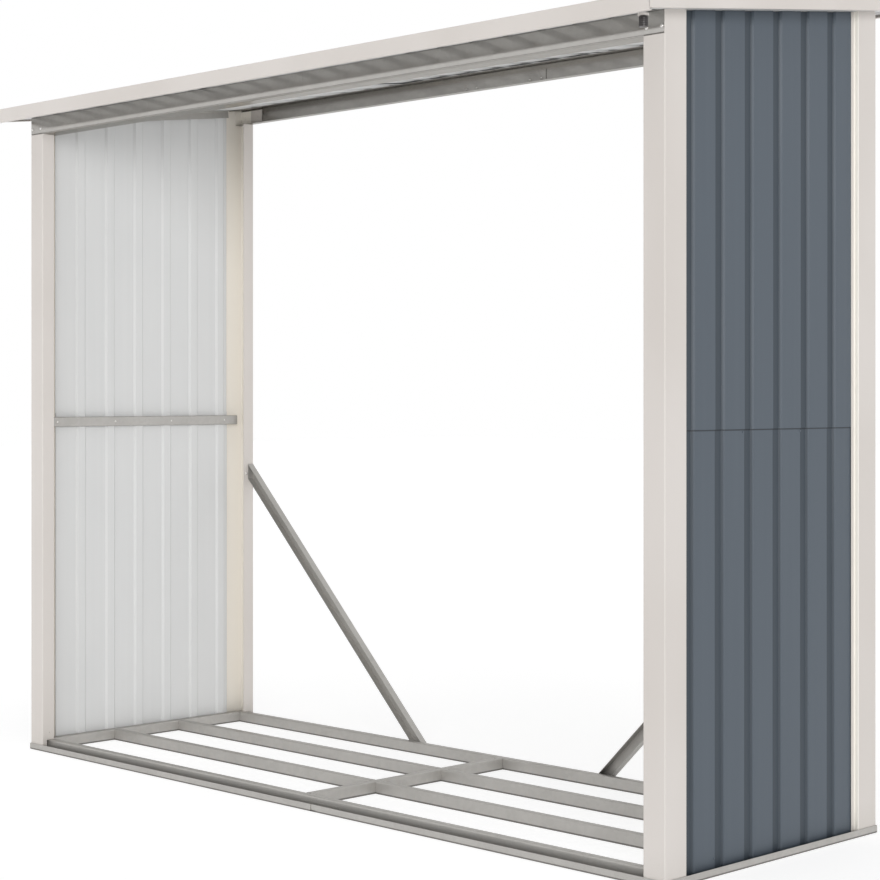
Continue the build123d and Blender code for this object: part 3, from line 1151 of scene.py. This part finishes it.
@dataclass
class CornerKnob:
    """Ribbed black knob that hangs under the roof at the front right corner.

    A rib's flank, gap and land are shares of its pitch. The disc's step, crown and taper are shares too.
    """

    finishes: Finishes
    place: tuple[float, float] = (1.167, -0.4515)
    top: float = 1.8075
    height: float = 0.0232
    radius: float = 0.0100
    sides: int = 24
    smooth_angle: float = 30.0
    rib_count: int = 6
    flank: float = 0.1
    gap: float = 0.2
    land: float = 0.6
    groove: float = 0.0014
    disc_radius: float = 0.0117
    disc_height: float = 0.0048
    disc_sides: int = 28
    disc_step: float = 0.3
    disc_crown: float = 0.2
    disc_taper: float = 0.95

    def build(self) -> None:
        """Model the knob as a stack of ribs, and the disc that it hangs from."""
        rib = self.height / self.rib_count
        narrow = (self.radius - self.groove) / self.radius
        knob = start_round("corner_knob", self.sides, self.radius, rib * self.land)
        steps = ((self.flank, narrow), (self.gap, 1.0), (self.flank, 1 / narrow), (self.land, 1.0))
        for share, scale in steps * (self.rib_count - 1):
            pick_top(knob)
            grow(rib * share, scale)
        pick_top(knob)
        bpy.ops.mesh.bevel(offset=self.groove, segments=2)
        finish_shape(knob, self.smooth_angle)
        knob.location = (*self.place, self.top - self.height)
        own(join("corner_knob", [knob]), self.finishes.plastic)
        disc = start_round("corner_knob_disc", self.disc_sides, self.disc_radius, self.disc_height)
        pick_top(disc)
        bpy.ops.mesh.inset(thickness=self.disc_radius * self.disc_step)
        grow(self.disc_height * self.disc_crown, self.disc_taper)
        finish_shape(disc)
        disc.location = (*self.place, self.top)
        own(join("corner_knob_disc", [disc]), self.finishes.cream)


@dataclass(frozen=True)
class Lamp:
    """A distant soft lamp: its place in degrees, level, width in degrees, and whether metal mirrors it."""

    name: str
    azimuth: float
    elevation: float
    level: float
    width: float
    mirrored: bool = True

    def build(self) -> None:
        """Add the lamp, aimed at the store."""
        data = bpy.data.lights.new(self.name, "SUN")
        data.energy = self.level
        data.angle = math.radians(self.width)
        lamp = bpy.data.objects.new(self.name, data)
        turn, rise = math.radians(self.azimuth), math.radians(self.elevation)
        aim = Vector((math.cos(turn) * math.cos(rise), math.sin(turn) * math.cos(rise), math.sin(rise)))
        lamp.rotation_euler = (-aim).to_track_quat("-Z", "Y").to_euler()
        lamp.visible_glossy = self.mirrored
        bpy.context.scene.collection.objects.link(lamp)


@dataclass
class Studio:
    """Camera at the picture's viewing angle, pale floor, plain soft light."""

    eye: tuple[float, float, float] = (3.8231, -3.6680, 1.0307)
    heading: float = 45.29
    frame_side: float = 880.0
    focal_pixels: float = 2019.0
    horizon_row: float = 393.5
    sensor: float = 36.0
    column_shift: float = 0.45
    view_reach: float = 200.0
    world_level: float = 0.345
    band_height: float = 0.06
    band_spread: float = 0.22
    band_level: float = 0.8
    lamps: tuple[Lamp, ...] = (
        Lamp("front_right", -38.0, 5.0, 1.14, 24.0),
        Lamp("rear_left", 142.0, 5.0, 1.20, 24.0, mirrored=False),
        Lamp("above", -60.0, 65.0, 0.80, 60.0),
    )
    white: Colour = (1.0, 1.0, 1.0)
    floor_half: float = 30.0
    floor_colour: Colour = (0.50, 0.50, 0.50)
    floor_shade: Colour = (0.47, 0.47, 0.47)
    floor_blots: Size = (0.4, 0.4, 0.4)
    floor_blot_share: float = 0.05
    floor_roughness: float = 0.9
    floor_specular: float = 0.1
    floor_lift: float = 0.67
    floor_glow: Colour = (0.90, 0.90, 0.90)

    def camera(self) -> None:
        """Set the camera where the picture was taken from."""
        data = bpy.data.cameras.new("camera")
        data.sensor_width = self.sensor
        data.lens = self.focal_pixels * self.sensor / self.frame_side
        data.shift_x = -self.column_shift / self.frame_side
        data.shift_y = (self.horizon_row - self.frame_side / 2) / self.frame_side
        data.clip_end = self.view_reach
        camera = bpy.data.objects.new("camera", data)
        camera.location = self.eye
        camera.rotation_euler = (math.pi / 2, 0, math.radians(self.heading))
        bpy.context.scene.collection.objects.link(camera)
        bpy.context.scene.camera = camera

    def light(self) -> None:
        """Light the store with a plain sky, brighter round the horizon, and soft lamps."""
        shader = Shader(bpy.data.worlds.new("studio"))
        bpy.context.scene.world = shader.holder
        band = 1 - abs(shader.z - self.band_height).ramp(0.0, self.band_spread)
        sky = band * self.band_level + self.world_level
        seen = shader.seen()
        inputs = {"Color": (*self.white, 1), "Strength": sky * (1 - seen) + seen}
        background = shader.node("ShaderNodeBackground", {}, inputs)
        shader.node("ShaderNodeOutputWorld", {}, {"Surface": background.outputs[0]})
        for lamp in self.lamps:
            lamp.build()

    def floor(self) -> None:
        """Lay a pale floor that keeps the store's shadow and fades to white for the camera."""
        clear_selection()
        bpy.ops.mesh.primitive_plane_add(size=2 * self.floor_half, location=(0, 0, 0))
        floor = bpy.context.object
        floor.name = "studio_floor"
        shader = Shader(bpy.data.materials.new("studio_floor"))
        seen = shader.seen()
        blots = shader.noise(self.floor_blots, detail=2.0)
        shader.surface(
            {
                "Base Color": shader.mix(blots * self.floor_blot_share, self.floor_colour, self.floor_shade),
                "Roughness": self.floor_roughness,
                "Specular IOR Level": self.floor_specular,
                "Emission Color": shader.mix(seen, self.floor_glow, self.white),
                "Emission Strength": self.floor_lift,
            }
        )
        floor.data.materials.append(shader.holder)

    def build(self) -> None:
        """Set up the camera, the light and the floor."""
        self.camera()
        self.light()
        self.floor()
        bpy.context.scene.view_settings.view_transform = "Standard"


def main() -> None:
    """Build the studio, the finishes and each sub-assembly in order."""
    logging.basicConfig(level=logging.INFO, format="%(name)s: %(message)s")
    Studio().build()
    finishes = Finishes()
    finishes.build()
    screw = DomeScrew("frame_screw", radius=0.0030, height=0.0018)
    bolt = DomeScrew("beam_bolt", radius=0.0043, height=0.0026)
    sheet_screw = HexScrew("sheet_screw", radius=0.0046, height=0.0034)
    for fastener in (screw, bolt, sheet_screw):
        fastener.build()
    for part in (
        BaseFrame(finishes, screw),
        Posts(finishes, screw),
        Beams(finishes, bolt),
        Walls(finishes, screw),
        Braces(finishes, bolt),
        Roof(finishes, sheet_screw, screw),
    ):
        part.dress()
        part.build()
    CornerKnob(finishes).build()
    for fastener in (screw, bolt, sheet_screw):
        fastener.discard()


if __name__ == "__main__":
    main()
